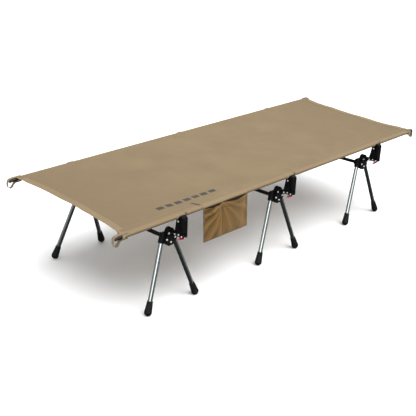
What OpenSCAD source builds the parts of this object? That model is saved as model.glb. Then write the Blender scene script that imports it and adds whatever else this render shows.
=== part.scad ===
// Knock-down camping cot: a fabric bed on two sleeved side rails, carried by three leg sets.
// +X runs along the bed from head to foot, +Y to the rear side, +Z up from the floor.
// The parts of one leg set's side are drawn around the set's centre with +Y pointing outward.

/* [Bed] */
// Length over the tips of the side rails
bed_length = 1900; // [1880:10:1980]
// Width over the edge sleeves
bed_width = 686; // [680:2:700]
// Height of the fabric's top surface above the floor
bed_height = 411; // [405:1:425]
// Thickness of the bed fabric
cloth = 2; // [1.8:0.1:2.4]
// Wall of the edge sleeves
sleeve_wall = 1.6; // [1.2:0.1:1.7]
// How far each rail tip stands out of the fabric's end
tip_stand_out = 28; // [20:1:34]
// How far the short ends curve in at their middle
end_curve = 18; // [8:1:24]
// Width of the edge notch at each clamp
notch_width = 38; // [34:1:44]
// Depth of the edge notch at each clamp
notch_depth = 14; // [8:1:15]

/* [Tubes] */
// Outer radius of the rails and crossbars
tube_r = 8; // [7.8:0.1:8.2]
// Wall of those tubes
tube_wall = 1.2; // [1:0.1:1.5]
// Distance between two leg sets
set_spacing = 638; // [620:1:650]
// Height of the crossbar's lowest point below the clamp arms
bar_drop = 53; // [52:0.5:54]
// Radius that the crossbar is bowed to
bar_bow = 3000; // [2900:50:3200]

/* [Legs] */
// Outer radius of the legs
leg_r = 9; // [8.6:0.1:9.2]
// Distance of a foot from its set's centre along the bed
foot_x = 131; // [125:1:140]
// Distance of a foot from the bed's centre line
foot_o = 307; // [303:1:310]
// Distance of a socket's mouth from its set's centre along the bed
socket_x = 38; // [36:1:40]
// Distance of a socket's mouth from the bed's centre line
socket_o = 270; // [269:1:272]
// Depth that a leg is pushed into its socket
leg_insert = 48; // [40:1:50]
// Largest radius of the rubber foot
cap_r = 15.5; // [14:0.5:17]
// Radius at the top of the rubber foot
cap_top_r = 11.3; // [10.9:0.1:12]
// Length of the rubber foot
cap_length = 60; // [50:1:66]

/* [Hub] */
// Radius of the round knob on top of a hub
knob_r = 16; // [15:0.5:17]
// Distance of the hub's inner face from the bed's centre line
hub_inner_o = 250; // [248:1:251]
// Distance of the hub's outer face from the bed's centre line
hub_outer_o = 287; // [285:1:288]
// Outer radius of the leg sockets
socket_r = 13; // [12.5:0.5:13.5]
// Radius of a hub screw's head
screw_head_r = 3.6; // [3:0.1:4]

/* [Clamp] */
// Distance of the rail hook's pivot from the bed's centre line
hook_o = 337; // [336.5:0.5:338]
// Distance of the tension lever's pivot from the bed's centre line
lever_o = 357; // [356:0.5:358]
// Height of the rail's axis above the pivots
pivot_drop = 78; // [77:0.5:79]
// Thickness of the bracket plates and lever cheeks
plate = 2.4; // [2.2:0.1:2.6]
// Radius of the pivot pins
pin_r = 2.5; // [2:0.1:2.8]

/* [Pocket] */
// Centre of the side pocket along the bed
pocket_x = -402.5; // [-420:0.5:-300]
// Width of the side pocket
pocket_width = 249; // [220:1:260]
// Height of the pocket's bottom edge above the floor
pocket_bottom = 250; // [240:1:280]
// Height of the pouches
pouch_height = 136; // [120:1:138]
// Share of the pocket's width taken by the pouch nearer the head
pocket_split = 0.41; // [0.35:0.01:0.5]
// How far the pouches bulge out
pouch_bulge = 12; // [10:0.5:13]

/* [Corner loops] */
// Width of the webbing
web_width = 11; // [8:1:14]
// Thickness of the webbing
web = 1.2; // [1:0.1:1.4]
// How far a loop reaches past its rail tip
loop_reach = 36; // [35:1:38]
// How far a loop's end hangs below the rail's axis
loop_droop = 31; // [28:1:34]

/* [Hidden] */
$fn = 64;
fine = 720;
SETS = ["head", "middle", "foot"];
SIDES = ["front", "rear"];
LEGS = ["leg_a", "leg_b"];
set_x = [-set_spacing, 0, set_spacing];
pairs = [for (i = [0:2], j = [0:1]) [i, j]];

gap = 0.35;
running_fit = 0.05;
cut = 1;

sleeve_r = tube_r + 0.4 + sleeve_wall;
rail_o = bed_width / 2 - sleeve_r;
rail_z = bed_height - sleeve_r;
fabric_end = bed_length / 2 - tip_stand_out;
end_arc = (rail_o * rail_o + end_curve * end_curve) / (2 * end_curve);
notch_o = bed_width / 2 - notch_depth;

bore_r = tube_r - tube_wall;
rail_split = set_spacing / 2;
rail_end = bed_length / 2 - 4;
cap_plug = 15;
ferrule_length = 90;
cord_r = 2;

arm_z = rail_z - pivot_drop;
socket_z = arm_z - 66;
leg_vec = [foot_x - socket_x, foot_o - socket_o, socket_z];
leg_run = norm(leg_vec);
leg_lean = asin(leg_vec.y / leg_run);
leg_splay = atan(leg_vec.x / leg_vec.z);
socket_mouth = leg_run + 13;
cap_floor = 12;
cap_flat = 0.5;
cap_tip_cut = 0.05;
cap_inset = 0.3;
cap_centre = (cap_r - cap_flat) / (leg_vec.z / leg_run);

bar_z = arm_z - bar_drop;
bar_end_o = 262;
bar_end_angle = asin(bar_end_o / bar_bow);
bar_seat_o = 247;
bar_seat_angle = asin(bar_seat_o / bar_bow);
bar_seat_z = bar_z + bar_bow * (1 - cos(bar_seat_angle));
bar_fit = 0.15;
bar_collar = 5;

knob_z = arm_z - 9;
knob_depth = 21;
hub_bottom_z = arm_z - 66;
tongue_half = 6.2;
tongue_r = 8.5;
tongue_pin = [318, -4];
screw_r = 2;
screw_depth = 5;
screw_head_t = 2.2;
screw_spots = [[-11.5, -12], [11.5, -12], [-21, -36], [21, -36], [0, -52]];

bracket_x = tongue_half + 0.3;
lever_x = bracket_x + plate + 0.3;
bracket_r = 8;
bracket_foot_r = 6.5;
plate_rivet = [334, 55];
head_r = 3.2;
head_t = 1.5;
pin_proud = 0.1;
hook_boss_r = 7;
hook_reach = norm([rail_o - hook_o, pivot_drop]) - tube_r - gap;
lever_boss_r = 8;
tab_half = bracket_x - gap;
tab_r = 5.5;
tab_drop = 17;

pocket_o = bed_width / 2 + 0.4;
panel = 1.5;
pouch_margin = 1.25;
pouch_left = pocket_width * (pocket_split - 0.5);
loop_clear = 0.3;
loop_back = 26;

function side_name(p, part) = str(SETS[p[0]], "_", SIDES[p[1]], "_", part);

// ---- placing ----

// One side of one leg set: children are drawn with +Y pointing outward.
module at_side(p) {
    translate([set_x[p[0]], 0, 0])
        mirror([0, p[1] == 0 ? 1 : 0, 0])
            children();
}

module at_every_side() {
    for (p = pairs)
        at_side(p)
            children();
}

// Both signs of X: children are drawn on the positive side.
module both_x() {
    for (m = [0, 1])
        mirror([m, 0, 0])
            children();
}

// The axis of a leg, +Z pointing up it from the floor. dir is -1 towards the head, 1 towards the foot.
module along_leg(dir) {
    translate([dir * foot_x, foot_o, 0])
        rotate([leg_lean, -dir * leg_splay, 0])
            children();
}

// Where a crossbar's end sits in its hub, +Z pointing outward along the bar.
module along_bar_end() {
    translate([0, bar_seat_o, bar_seat_z])
        rotate([bar_seat_angle - 90, 0, 0])
            children();
}

// A flat shape drawn in (outward, up) coordinates, given a thickness along X from x0.
module slab(x0, thickness) {
    translate([x0, 0, 0])
        rotate([90, 0, 90])
            linear_extrude(thickness)
                children();
}

module rod_x(r, x0, x1) {
    translate([x0, 0, 0])
        rotate([0, 90, 0])
            cylinder(r = r, h = x1 - x0);
}

module tube_x(r_out, r_in, x0, x1) {
    difference() {
        rod_x(r_out, x0, x1);
        rod_x(r_in, x0 - cut, x1 + cut);
    }
}

// ---- bed ----

module bed_outline() {
    difference() {
        square([2 * fabric_end, 2 * rail_o], center = true);
        both_x()
            translate([fabric_end - end_curve + end_arc, 0])
                circle(r = end_arc, $fn = fine);
    }
}

module bed_fabric() {
    color("tan")
        difference() {
            union() {
                translate([0, 0, bed_height - cloth])
                    linear_extrude(cloth)
                        bed_outline();
                for (side = [-1, 1])
                    translate([0, side * rail_o, rail_z])
                        tube_x(sleeve_r, sleeve_r - sleeve_wall, -fabric_end, fabric_end);
            }
            at_every_side() {
                translate([-notch_width / 2, notch_o, rail_z])
                    cube([notch_width, notch_depth + cut, sleeve_r + cut]);
                translate([-notch_width / 2, rail_o - sleeve_r - cut, rail_z - sleeve_r - cut])
                    cube([notch_width, 2 * sleeve_r + 2 * cut, 2 * sleeve_r + cut - cloth]);
            }
        }
}

// The outline of a pouch of a given half width, seen from above and bulging towards +Y.
module pouch_shape(half, inset) {
    arc = (half * half + pouch_bulge * pouch_bulge) / (2 * pouch_bulge);
    intersection() {
        translate([0, pouch_bulge - arc])
            circle(r = arc - inset, $fn = fine);
        translate([-2 * half, 0])
            square([4 * half, pouch_bulge + cut]);
    }
}

// A pouch between two distances from the pocket's centre.
module pouch(from_x, to_x) {
    half = (to_x - from_x) / 2 - pouch_margin;
    translate([(from_x + to_x) / 2, panel, 0])
        difference() {
            linear_extrude(pouch_height)
                pouch_shape(half, 0);
            translate([0, 0, panel])
                linear_extrude(pouch_height)
                    pouch_shape(half, panel);
        }
}

module side_pocket() {
    color("peru")
        translate([pocket_x, -pocket_o, pocket_bottom])
            mirror([0, 1, 0]) {
                translate([-pocket_width / 2, 0, 0])
                    cube([pocket_width, panel, rail_z - pocket_bottom]);
                pouch(-pocket_width / 2, pouch_left);
                pouch(pouch_left, pocket_width / 2);
            }
}

// The side view of a corner loop, from the sleeve's end: grow is 0 for its inside, 1 for its outside.
module loop_outline(grow) {
    w = grow * web;
    a = sleeve_r + loop_clear;
    back = loop_back + (1 - grow) * cut;
    far = loop_reach + 1;
    bend = 6;
    toe = 12;
    polygon([
        [-back, -a - w],
        [bend, -a - w],
        [loop_reach - toe, toe / 3 - loop_droop - w],
        [loop_reach - bend, -loop_droop - w],
        [far + w, bend - loop_droop],
        [far + w, a - bend],
        [loop_reach - bend + w / 2, a + w],
        [-back, a + w]
    ]);
}

module corner_loop() {
    translate([fabric_end, web_width / 2, 0])
        rotate([90, 0, 0])
            linear_extrude(web_width)
                difference() {
                    loop_outline(1);
                    loop_outline(0);
                }
}

module corner_loops() {
    color("burlywood")
        both_x()
            for (side = [-1, 1])
                translate([0, side * rail_o, rail_z])
                    corner_loop();
}

// ---- rails ----

module rail(side) {
    color("silver")
        translate([0, side * rail_o, rail_z]) {
            tube_x(tube_r, bore_r, -rail_split, rail_split);
            both_x()
                tube_x(tube_r, bore_r, rail_split + gap, rail_end);
        }
}

module rail_ferrules() {
    color("gray")
        for (side = [-1, 1])
            translate([0, side * rail_o, rail_z])
                both_x()
                    translate([rail_split, 0, 0])
                        tube_x(bore_r, bore_r - 1, -ferrule_length / 2, ferrule_length / 2);
}

module rail_shock_cords() {
    color("dimgray")
        for (side = [-1, 1])
            translate([0, side * rail_o, rail_z])
                rod_x(cord_r, cap_plug - rail_end, rail_end - cap_plug);
}

module rail_end_caps() {
    color("darkslategray")
        for (side = [-1, 1])
            translate([0, side * rail_o, rail_z])
                both_x() {
                    rod_x(bore_r, rail_end - cap_plug, rail_end);
                    rod_x(tube_r + 0.4, rail_end, bed_length / 2);
                }
}

// ---- crossbars ----

module bar_section() {
    difference() {
        circle(r = tube_r);
        circle(r = bore_r);
    }
}

module crossbars() {
    color("black")
        for (x = set_x)
            translate([x, 0, bar_z + bar_bow])
                rotate([0, 90, 0])
                    rotate([0, 0, -bar_end_angle])
                        rotate_extrude(angle = 2 * bar_end_angle, $fn = fine)
                            translate([bar_bow, 0])
                                bar_section($fn = 48);
}

// ---- legs ----

module leg_tube(dir) {
    color("silver")
        along_leg(dir)
            translate([0, 0, cap_floor])
                difference() {
                    cylinder(r = leg_r, h = leg_run + leg_insert - cap_floor);
                    translate([0, 0, -cut])
                        cylinder(r = leg_r - tube_wall, h = leg_run + leg_insert + 2 * cut);
                }
}

module cap_section() {
    intersection() {
        union() {
            translate([0, cap_centre])
                circle(r = cap_r);
            polygon([
                [0, cap_centre],
                [cap_r - cap_inset, cap_centre],
                [cap_top_r, cap_length],
                [0, cap_length]
            ]);
        }
        translate([0, cap_centre - cap_r + cap_tip_cut])
            square([cap_r, cap_length + cap_r]);
    }
}

module leg_foot(dir) {
    color("black")
        difference() {
            along_leg(dir)
                difference() {
                    rotate([0, 0, 90 - 90 * dir])
                        rotate_extrude()
                            cap_section();
                    translate([0, 0, cap_floor])
                        cylinder(r = leg_r, h = cap_length);
                }
            translate([dir * foot_x - 2 * cap_r, foot_o - 2 * cap_r, -2 * cap_r])
                cube([4 * cap_r, 4 * cap_r, 2 * cap_r]);
        }
}

// ---- hubs ----

module hub_core() {
    waist = 12;
    lobe = 29;
    shoulder = 14;
    lobe_z = [19, 35];
    shoulder_z = 47;
    translate([0, hub_outer_o, 0])
        rotate([90, 0, 0])
            union() {
                linear_extrude(knob_depth)
                    translate([0, knob_z])
                        circle(r = knob_r);
                linear_extrude(hub_outer_o - hub_inner_o)
                    translate([0, hub_bottom_z])
                        polygon([
                            [-waist, 0],
                            [waist, 0],
                            [lobe, lobe_z[0]],
                            [lobe, lobe_z[1]],
                            [shoulder, shoulder_z],
                            [-shoulder, shoulder_z],
                            [-lobe, lobe_z[1]],
                            [-lobe, lobe_z[0]]
                        ]);
            }
}

// The flat arm that rises from the hub to the clamp.
module hub_tongue() {
    root_o = hub_inner_o + 12;
    root = [-30, -8];
    flank = tongue_r - 1;
    slab(-tongue_half, 2 * tongue_half)
        translate([0, arm_z]) {
            polygon([
                [root_o, root[0]],
                [tongue_pin.x, tongue_pin.y - flank],
                [tongue_pin.x, tongue_pin.y + flank],
                [root_o, root[1]]
            ]);
            translate(tongue_pin)
                circle(r = tongue_r);
        }
}

module hub() {
    collar_start = -12;
    collar_length = 28;
    socket_end = leg_run + leg_insert;
    roof = 6;
    color("#1c1c1e")
        difference() {
            union() {
                hub_core();
                hub_tongue();
                for (dir = [-1, 1])
                    along_leg(dir)
                        translate([0, 0, socket_mouth])
                            cylinder(r = socket_r, h = socket_end + roof - socket_mouth);
                along_bar_end()
                    translate([0, 0, collar_start])
                        cylinder(r = tube_r + bar_collar, h = collar_length);
            }
            for (dir = [-1, 1])
                along_leg(dir)
                    translate([0, 0, socket_mouth - cut])
                        cylinder(r = leg_r + running_fit, h = socket_end + gap + cut - socket_mouth);
            along_bar_end()
                translate([0, 0, collar_start - cut])
                    cylinder(r = tube_r + bar_fit, h = collar_length + cut);
            translate([0, tongue_pin.x, arm_z + tongue_pin.y])
                rod_x(pin_r, -tongue_half - cut, tongue_half + cut);
            hub_screw_set(0);
        }
}

// The button-head screws of one hub. head is 1 to draw them with their heads.
module hub_screw_set(head) {
    hex_r = 1.5;
    for (spot = screw_spots)
        translate([spot.x, hub_outer_o, arm_z + spot.y])
            rotate([-90, 0, 0]) {
                translate([0, 0, -screw_depth])
                    cylinder(r = screw_r, h = screw_depth);
                if (head == 1)
                    difference() {
                        cylinder(r = screw_head_r, h = screw_head_t);
                        translate([0, 0, screw_head_t / 2])
                            cylinder(r = hex_r, h = screw_head_t, $fn = 6);
                    }
            }
}

module hub_screws() {
    color("silver")
        at_every_side()
            hub_screw_set(1);
}

// ---- clamps ----
// Outlines are drawn in (outward, up) coordinates with up counted from the pivots' height.

// One side plate: a broad foot on the tongue, narrowing up to the rail.
module bracket_outline() {
    inset = 0.4;
    shoulder = [10, 13];
    front_top = [7, 8];
    back_top = [-11, 11];
    hip = [-14, -15];
    heel = [1, 2];
    polygon([
        [tongue_pin.x, tongue_pin.y - bracket_foot_r + inset],
        [lever_o, inset - bracket_r],
        [lever_o, bracket_r - inset],
        [hook_o + shoulder.x, shoulder.y],
        plate_rivet + front_top,
        plate_rivet + back_top,
        plate_rivet + hip,
        [tongue_pin.x - bracket_foot_r + heel.x, tongue_pin.y + heel.y]
    ]);
    translate(tongue_pin)
        circle(r = bracket_foot_r);
    translate([lever_o, 0])
        circle(r = bracket_r);
}

module clamp_brackets() {
    color("#202022")
        at_every_side()
            both_x()
                slab(bracket_x, plate)
                    translate([0, arm_z])
                        difference() {
                            bracket_outline();
                            for (spot = [tongue_pin, plate_rivet, [hook_o, 0], [lever_o, 0]])
                                translate(spot)
                                    circle(r = pin_r);
                        }
}

// A riveted pin between x_in and x_out on both sides, or right through when x_in is 0.
module riveted_pin(spot, x_in, x_out) {
    translate([0, spot.x, arm_z + spot.y]) {
        if (x_in == 0)
            rod_x(pin_r, -x_out, x_out);
        else
            both_x()
                rod_x(pin_r, x_in, x_out);
        both_x()
            rod_x(head_r, x_out, x_out + head_t);
    }
}

module clamp_pins() {
    color("gainsboro")
        at_every_side() {
            riveted_pin(tongue_pin, 0, bracket_x + plate);
            riveted_pin([hook_o, 0], 0, bracket_x + plate);
            riveted_pin(plate_rivet, bracket_x, bracket_x + plate);
            riveted_pin([lever_o, 0], 0, lever_x + plate + pin_proud);
        }
}

// The hook's body ends in an arc about its own pivot, just under the rail; its finger rises inside the rail.
module hook_outline() {
    half = hook_boss_r - 1;
    finger = 13;
    finger_rise = 3;
    finger_root_z = pivot_drop - 24;
    chest_z = 45;
    throat_z = 52;
    elbow_z = 20;
    difference() {
        union() {
            translate([hook_o, 0])
                circle(r = hook_boss_r);
            intersection() {
                polygon([
                    [hook_o - half, 0],
                    [hook_o + half, 0],
                    [hook_o + half, chest_z],
                    [rail_o + finger, pivot_drop],
                    [rail_o - finger, pivot_drop],
                    [rail_o - finger, throat_z],
                    [hook_o - half, elbow_z]
                ]);
                translate([hook_o, 0])
                    circle(r = hook_reach, $fn = fine);
            }
            polygon([
                [rail_o - finger, finger_root_z],
                [rail_o, finger_root_z],
                [rail_o, pivot_drop - tube_r],
                [rail_o - tube_r, pivot_drop + finger_rise],
                [rail_o - finger + 1, pivot_drop + finger_rise]
            ]);
        }
        translate([rail_o, pivot_drop])
            circle(r = tube_r + gap);
        translate([hook_o, 0])
            circle(r = pin_r + running_fit);
    }
}

module rail_hook() {
    color("#18181a")
        slab(-tongue_half, 2 * tongue_half)
            translate([0, arm_z])
                hook_outline();
}

// The lever's cheek, ending in a short nose that closes against the outside of the rail.
module lever_outline() {
    back = lever_boss_r - 1;
    top = pivot_drop + 2.5;
    nose = 13;
    nose_rise = 1.5;
    round_off = 3;
    taper = 0.5;
    chin = 2;
    translate([lever_o, 0]) {
        circle(r = lever_boss_r);
        polygon([
            [-back, 0],
            [back, 0],
            [back - taper, top - 10],
            [back - round_off, top - round_off],
            [-chin, top],
            [chin - nose, top + nose_rise],
            [-nose, top - taper],
            [-back - chin, top - 5],
            [-back - nose_rise, top - 20]
        ]);
    }
}

module tension_lever() {
    web_start = 15;
    web_t = 3.5;
    top_block = 7;
    rib = 1.5;
    rib_out = 0.8;
    rib_step = 5.5;
    rib_end = 64;
    front = lever_boss_r - 1;
    color("#141416")
        translate([0, 0, arm_z]) {
            both_x()
                slab(lever_x, plate)
                    difference() {
                        lever_outline();
                        translate([lever_o, 0])
                            circle(r = pin_r + running_fit);
                    }
            slab(-lever_x, 2 * lever_x)
                intersection() {
                    lever_outline();
                    union() {
                        translate([lever_o + front - web_t, web_start])
                            square([2 * web_t, pivot_drop]);
                        translate([lever_o - 2 * front, pivot_drop - top_block])
                            square([4 * front, 2 * top_block]);
                    }
                }
            for (x = [-rib_step, 0, rib_step])
                slab(x - rib / 2, rib)
                    translate([lever_o + front - 1, web_start + 2])
                        square([1 + rib_out, rib_end - web_start]);
        }
}

// A broad tab that hangs from the lever's pin and slants in under the hook's boss.
module release_tab() {
    tip_r = 3.4;
    tip_in = 15;
    flank = 3;
    tip_top = 1.5;
    root = [4, -2];
    color("crimson")
        slab(-tab_half, 2 * tab_half)
            translate([lever_o, arm_z])
                difference() {
                    union() {
                        circle(r = tab_r);
                        polygon([
                            [-tip_in - flank, tip_top - tab_drop],
                            [-tip_in + 1, -tab_drop - flank],
                            root,
                            [root.y, flank]
                        ]);
                        translate([-tip_in, -tab_drop])
                            circle(r = tip_r);
                    }
                    circle(r = pin_r + running_fit);
                }
}

// ---- drawing ----

bed_fabric();
side_pocket();
corner_loops();
rail(-1);  // front_rail
rail(1);  // rear_rail
rail_ferrules();
rail_shock_cords();
rail_end_caps();
crossbars();
clamp_brackets();
clamp_pins();
hub_screws();
for (p = pairs) {
    at_side(p) hub();
    at_side(p) rail_hook();
    at_side(p) tension_lever();
    at_side(p) release_tab();
    for (k = [0, 1]) {
        at_side(p) leg_tube(2 * k - 1);
        at_side(p) leg_foot(2 * k - 1);
    }
}
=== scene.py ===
"""Looks of the folding cot: cloth, webbing, stitching, materials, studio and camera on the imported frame."""
import math

import bpy
import numpy as np
from mathutils import Matrix, Vector


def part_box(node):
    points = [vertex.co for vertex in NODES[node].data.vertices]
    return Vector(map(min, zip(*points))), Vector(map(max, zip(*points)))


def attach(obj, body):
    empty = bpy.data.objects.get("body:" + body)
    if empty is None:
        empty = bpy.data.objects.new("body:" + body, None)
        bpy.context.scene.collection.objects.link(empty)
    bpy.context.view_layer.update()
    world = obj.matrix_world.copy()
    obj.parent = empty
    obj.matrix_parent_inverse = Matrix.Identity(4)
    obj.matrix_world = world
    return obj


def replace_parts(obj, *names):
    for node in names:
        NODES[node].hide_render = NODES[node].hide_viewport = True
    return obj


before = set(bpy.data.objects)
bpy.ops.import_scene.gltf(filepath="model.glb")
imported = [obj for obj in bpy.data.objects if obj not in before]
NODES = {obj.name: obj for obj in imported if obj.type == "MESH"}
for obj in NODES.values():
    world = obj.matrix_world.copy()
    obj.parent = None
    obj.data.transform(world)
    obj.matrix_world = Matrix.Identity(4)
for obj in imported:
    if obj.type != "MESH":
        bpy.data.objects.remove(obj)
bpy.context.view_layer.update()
MM = 0.001

# ---- places worked out from the frame ----

BED_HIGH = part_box("bed_fabric")[1]
RAIL_LOW, RAIL_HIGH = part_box("rear_rail")
POCKET_LOW, POCKET_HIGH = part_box("side_pocket")
SETS = ("head", "middle", "foot")
SIDES = ("front", "rear")
SIGN = {"front": -1, "rear": 1}


def middle(node):
    low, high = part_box(node)
    return (low + high) / 2


# Names that end in _O say how far out a thing lies from the bed's middle line, on either side.
SET_X = [middle(f"{s}_rear_hub").x for s in SETS]
RAIL_O = (RAIL_LOW.y + RAIL_HIGH.y) / 2
RAIL_Z = (RAIL_LOW.z + RAIL_HIGH.z) / 2
HALF_CAD_CLOTH = 0.6 * MM
SLEEVE_R = BED_HIGH.y - RAIL_O - HALF_CAD_CLOTH
TOP_Z = BED_HIGH.z - HALF_CAD_CLOTH
CLOTH_END = BED_HIGH.x
SEAM_O = RAIL_O - 30 * MM
NOTCH_HALF = 19 * MM
NOTCH_O = BED_HIGH.y - 14 * MM
# How far the free ends curve in, and how much further the cloth reaches at the foot end.
END_CURVE = 18 * MM
FOOT_REACH = 13 * MM
CLOTH_T = 0.9 * MM
UP = (0, 0, 1)
FORWARD = (0, -1, 0)


# ---- camera ----

CAMERA_PLACE = (-2.5423, -2.2996, 1.6790)
CAMERA_DEGREES = (-46.218, 24.428, 3.047)
CAMERA_LENS = 69.94


def make_camera():
    """The photo's camera. Its angles are azimuth, elevation and roll."""
    azimuth, elevation, roll = (math.radians(a) for a in CAMERA_DEGREES)
    back = Vector((math.sin(azimuth) * math.cos(elevation),
                   -math.cos(azimuth) * math.cos(elevation), math.sin(elevation)))
    right = Vector((math.cos(azimuth), math.sin(azimuth), 0))
    up = back.cross(right)
    across = right * math.cos(roll) + up * math.sin(roll)
    above = up * math.cos(roll) - right * math.sin(roll)
    turn = Matrix((across, above, back)).transposed()
    camera = bpy.data.objects.new("camera", bpy.data.cameras.new("camera"))
    bpy.context.scene.collection.objects.link(camera)
    camera.data.lens, camera.data.sensor_width = CAMERA_LENS, 36
    camera.data.clip_end = 200
    camera.matrix_world = Matrix.Translation(CAMERA_PLACE) @ turn.to_4x4()
    bpy.context.scene.camera = camera


make_camera()


# ---- material building ----

class Nodes:
    """Short ways to add nodes to one tree and to join them up."""

    def __init__(self, tree, place):
        self.tree = tree
        tree.nodes.clear()
        self.place = self.node("TexCoord").outputs[place]

    def node(self, kind, **settings):
        made = self.tree.nodes.new("ShaderNode" + kind)
        for key, value in settings.items():
            setattr(made, key, value)
        return made

    def put(self, socket, value):
        if isinstance(value, bpy.types.NodeSocket):
            self.tree.links.new(value, socket)
        else:
            socket.default_value = value

    def math(self, operation, a, b=0.0, c=0.0):
        made = self.node("Math", operation=operation)
        for socket, value in zip(made.inputs, (a, b, c)):
            self.put(socket, value)
        return made.outputs[0]

    def dot(self, a, b):
        made = self.node("VectorMath", operation="DOT_PRODUCT")
        self.put(made.inputs[0], a)
        self.put(made.inputs[1], b)
        return made.outputs["Value"]

    def axes(self):
        split = self.node("SeparateXYZ")
        self.put(split.inputs[0], self.place)
        return split.outputs

    def ramp(self, value, low, high, out_low=0.0, out_high=1.0):
        made = self.node("MapRange")
        for name, v in (("Value", value), ("From Min", low), ("From Max", high),
                        ("To Min", out_low), ("To Max", out_high)):
            self.put(made.inputs[name], v)
        return made.outputs[0]


class Shade(Nodes):
    """One node material while it is being built."""

    def __init__(self, name):
        self.material = bpy.data.materials.new(name)
        self.material.use_nodes = True
        super().__init__(self.material.node_tree, "Object")
        self.surface = self.node("BsdfPrincipled")
        self.put(self.node("OutputMaterial").inputs[0], self.surface.outputs[0])

    def noise(self, scale, detail=3.0, roughness=0.55, stretch=None):
        place = self.place
        if stretch:
            mapping = self.node("Mapping")
            self.put(mapping.inputs["Vector"], place)
            mapping.inputs["Scale"].default_value = stretch
            place = mapping.outputs[0]
        made = self.node("TexNoise")
        self.put(made.inputs["Vector"], place)
        made.inputs["Scale"].default_value = scale
        made.inputs["Detail"].default_value = detail
        made.inputs["Roughness"].default_value = roughness
        return made.outputs["Fac"]

    def mix(self, share, a, b):
        made = self.node("Mix", data_type="RGBA")
        self.put(made.inputs[0], share)
        self.put(made.inputs[6], a if isinstance(a, bpy.types.NodeSocket) else (*a, 1))
        self.put(made.inputs[7], b if isinstance(b, bpy.types.NodeSocket) else (*b, 1))
        return made.outputs[2]

    def bump(self, height, distance, strength=1.0, under=None):
        made = self.node("Bump")
        made.inputs["Strength"].default_value = strength
        made.inputs["Distance"].default_value = distance
        self.put(made.inputs["Height"], height)
        if under is not None:
            self.put(made.inputs["Normal"], under)
        return made.outputs[0]

    def edges(self, radius):
        """How near a surface point is to a sharp edge, from 0 to 1."""
        bevel = self.node("Bevel", samples=4)
        bevel.inputs["Radius"].default_value = radius
        flat = self.node("NewGeometry").outputs["Normal"]
        return self.ramp(self.dot(bevel.outputs[0], flat), 0.98, 0.80)

    def finish(self, **sockets):
        for name, value in sockets.items():
            socket = self.surface.inputs[name.replace("_", " ")]
            self.put(socket, (*value, 1) if isinstance(value, tuple) and len(value) == 3 else value)
        return self.material


def scaled(colour, k):
    return tuple(min(1.0, c * k) for c in colour)


def weave_height(s, across, along, pitch):
    """Height of a plain weave: threads in both directions that pass over and under each other."""
    a = s.math("SINE", s.math("MULTIPLY", across, math.pi / pitch))
    b = s.math("SINE", s.math("MULTIPLY", along, math.pi / pitch))
    over = s.math("GREATER_THAN", s.math("MULTIPLY", a, b), 0.0)
    a_high, b_high = s.math("ABSOLUTE", a), s.math("ABSOLUTE", b)
    under = s.math("SUBTRACT", 1.0, over)
    return s.math("ADD", s.math("MULTIPLY", a_high, over), s.math("MULTIPLY", b_high, under))


def cloth_place(s, upright):
    """Two coordinates that run along the threads: on the bed they follow it round the rails."""
    x, y, z = s.axes()
    if upright:
        return x, z
    return x, s.math("SUBTRACT", s.math("ABSOLUTE", y), z)


def canvas(name, base, upright=False, pitch=1.1 * MM, extra=None):
    """Coated polyester canvas: a plain weave with faint slubs, blotches and a soft sheen."""
    s = Shade(name)
    x, t = cloth_place(s, upright)
    weave = weave_height(s, x, t, pitch)
    blotch = s.noise(5.0, 4.0)
    slub = s.noise(60.0, 2.0, stretch=(1, 14, 14))
    fibre = s.noise(900.0, 2.0)
    colour = s.mix(s.ramp(blotch, 0.35, 0.65), scaled(base, 0.94), scaled(base, 1.06))
    colour = s.mix(s.ramp(slub, 0.35, 0.7, 0, 0.25), colour, scaled(base, 1.16))
    # Painted shade: the low places of the weave are darkened between the threads.
    colour = s.mix(s.math("MULTIPLY", s.ramp(weave, 0.7, 0.0), 0.32), colour, scaled(base, 0.62))
    if extra:
        colour = extra(s, colour)
    rough = s.ramp(fibre, 0.3, 0.7, 0.74, 0.92)
    soft = s.bump(s.noise(26.0, 3.0), 1.2 * MM, 0.35)
    normal = s.bump(weave, 0.28 * MM, 0.55, soft)
    return s.finish(Base_Color=colour, Roughness=rough, Normal=normal, Sheen_Weight=0.05,
                    Sheen_Roughness=0.45, Specular_IOR_Level=0.22)


BED_COLOUR = (0.180, 0.131, 0.073)
POCKET_COLOUR = (0.126, 0.069, 0.019)
# BAND_COLOUR is the hems' colour and also the painted highlight along the sleeves' tops.
BAND_COLOUR = (0.200, 0.146, 0.082)
SHADED_EDGE = (0.060, 0.037, 0.018)
PRINT_COLOUR = (0.040, 0.037, 0.035)
# The pocket's centre seam, and the fan of folds that springs from just above its top. FOLD_RISE and
# FOLD_BLUNT are shares of a pouch's height.
POCKET_SPLIT = POCKET_LOW.x + 0.41 * (POCKET_HIGH.x - POCKET_LOW.x)
MOUTH_Z = RAIL_Z - 4 * MM
POUCH_RISE = MOUTH_Z - POCKET_LOW.z
FOLD_RISE = 0.06
FOLD_BLUNT = 0.02
FOLDS = 17
FOLD_START = 0.8
# The generic printed mark: a row of equal dashes near the front edge.
PRINT_X = (-0.686, -0.366)
PRINT_Y = (-0.268, -0.245)
DASH_PITCH = 46 * MM
DASH_SHARE = 0.72


def inside(s, value, low, high, soft):
    up = s.ramp(value, low, low + soft)
    down = s.ramp(value, high, high - soft)
    return s.math("MULTIPLY", up, down)


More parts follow.
